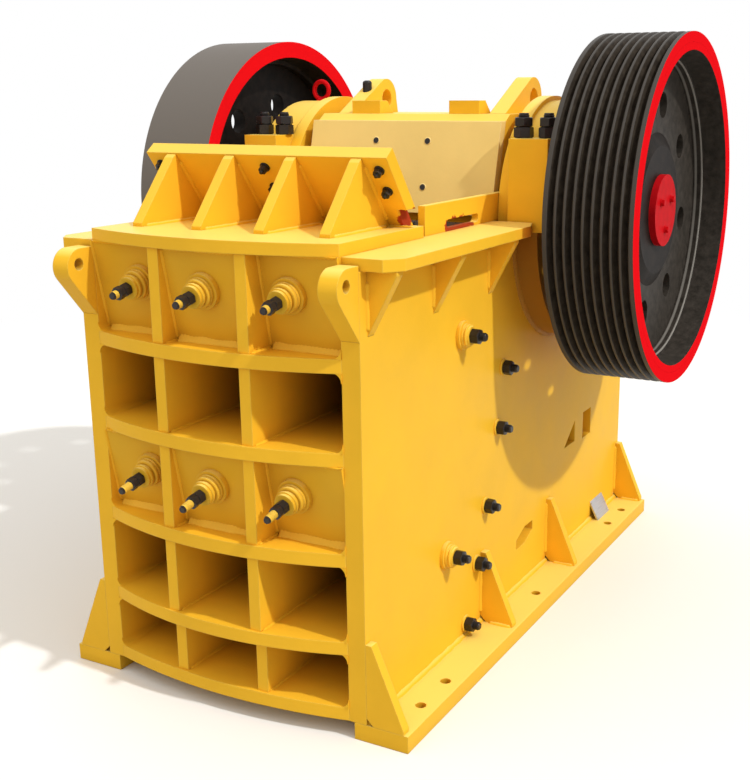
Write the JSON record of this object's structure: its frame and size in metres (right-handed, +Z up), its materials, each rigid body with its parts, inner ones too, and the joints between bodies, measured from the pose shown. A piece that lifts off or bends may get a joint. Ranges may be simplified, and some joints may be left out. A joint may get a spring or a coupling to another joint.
{
  "type": "jaw crusher",
  "caption": "Single-toggle jaw crusher with a ribbed welded frame, bolted jaws, an eccentric shaft, a plain flywheel and a grooved belt pulley.",
  "frame": {"origin": "centre of the rectangle of the four outermost foundation bolt holes, at the underside of the feet", "axes": "+X towards the grooved pulley, -Y out of the ribbed front, +Z up"},
  "size_m": [2.166, 2.7017, 2.283],
  "materials": {
    "yellow_paint": "gloss enamel",
    "pale_yellow_paint": "satin enamel",
    "red_paint": "gloss enamel",
    "black_iron": "satin black paint",
    "grey_iron": "turned and primed",
    "machined_steel": "turned",
    "manganese_steel": "as cast",
    "black_nut": "black oxide",
    "bare_plate": "brushed"
  },
  "bodies": {
    "frame": {"bearing_left": "yellow_paint", "bearing_nuts": "black_nut", "bearing_right": "yellow_paint", "cheek_plates": "yellow_paint", "feed_guard": "yellow_paint", "fixed_jaw": "manganese_steel", "flange_gussets": "yellow_paint", "foot_gussets": "yellow_paint", "foot_plates": "yellow_paint", "front_ribs": "yellow_paint", "front_wall": "yellow_paint", "guard_gussets": "yellow_paint", "jaw_bolt_nuts": "black_nut", "jaw_bolt_washers": "yellow_paint", "lifting_ears": "yellow_paint", "name_plate": "bare_plate", "rear_beam": "yellow_paint", "rear_ribs": "yellow_paint", "rear_shelf": "yellow_paint", "rear_wall": "yellow_paint", "row_plates": "yellow_paint", "saddles": "yellow_paint", "side_pads": "yellow_paint", "side_plate_left": "yellow_paint", "side_plate_right": "yellow_paint", "toggle_plate": "grey_iron", "toggle_seat": "grey_iron", "top_flanges": "yellow_paint", "top_plate": "yellow_paint", "upright_ribs": "yellow_paint"},
    "drive": {"eccentric_shaft": "machined_steel", "flywheel_rim": "grey_iron", "flywheel_web": "black_iron", "pulley_grooves": "black_iron", "pulley_rim": "black_iron", "pulley_web": "black_iron", "wheel_hubs": "black_iron", "hub_caps": "red_paint"},
    "swing": {"swing_head": "yellow_paint", "swing_slab": "yellow_paint", "swing_ribs": "yellow_paint", "swing_die": "manganese_steel", "swing_guard": "pale_yellow_paint", "head_lugs": "yellow_paint", "head_blocks": "yellow_paint"}
  },
  "joints": [
    {"name": "shaft_spin", "type": "hinge", "parent": "frame", "child": "drive", "pos_m": [0, 0.353, 1.605], "axis": [1, 0, 0], "continuous": true},
    {"name": "swing_on_eccentric", "type": "hinge", "parent": "drive", "child": "swing", "pos_m": [0, 0.353, 1.59], "axis": [1, 0, 0], "continuous": true}
  ],
  "couplings": [
    {"joint": "swing_on_eccentric", "follows": "shaft_spin", "ratio": -1}
  ]
}
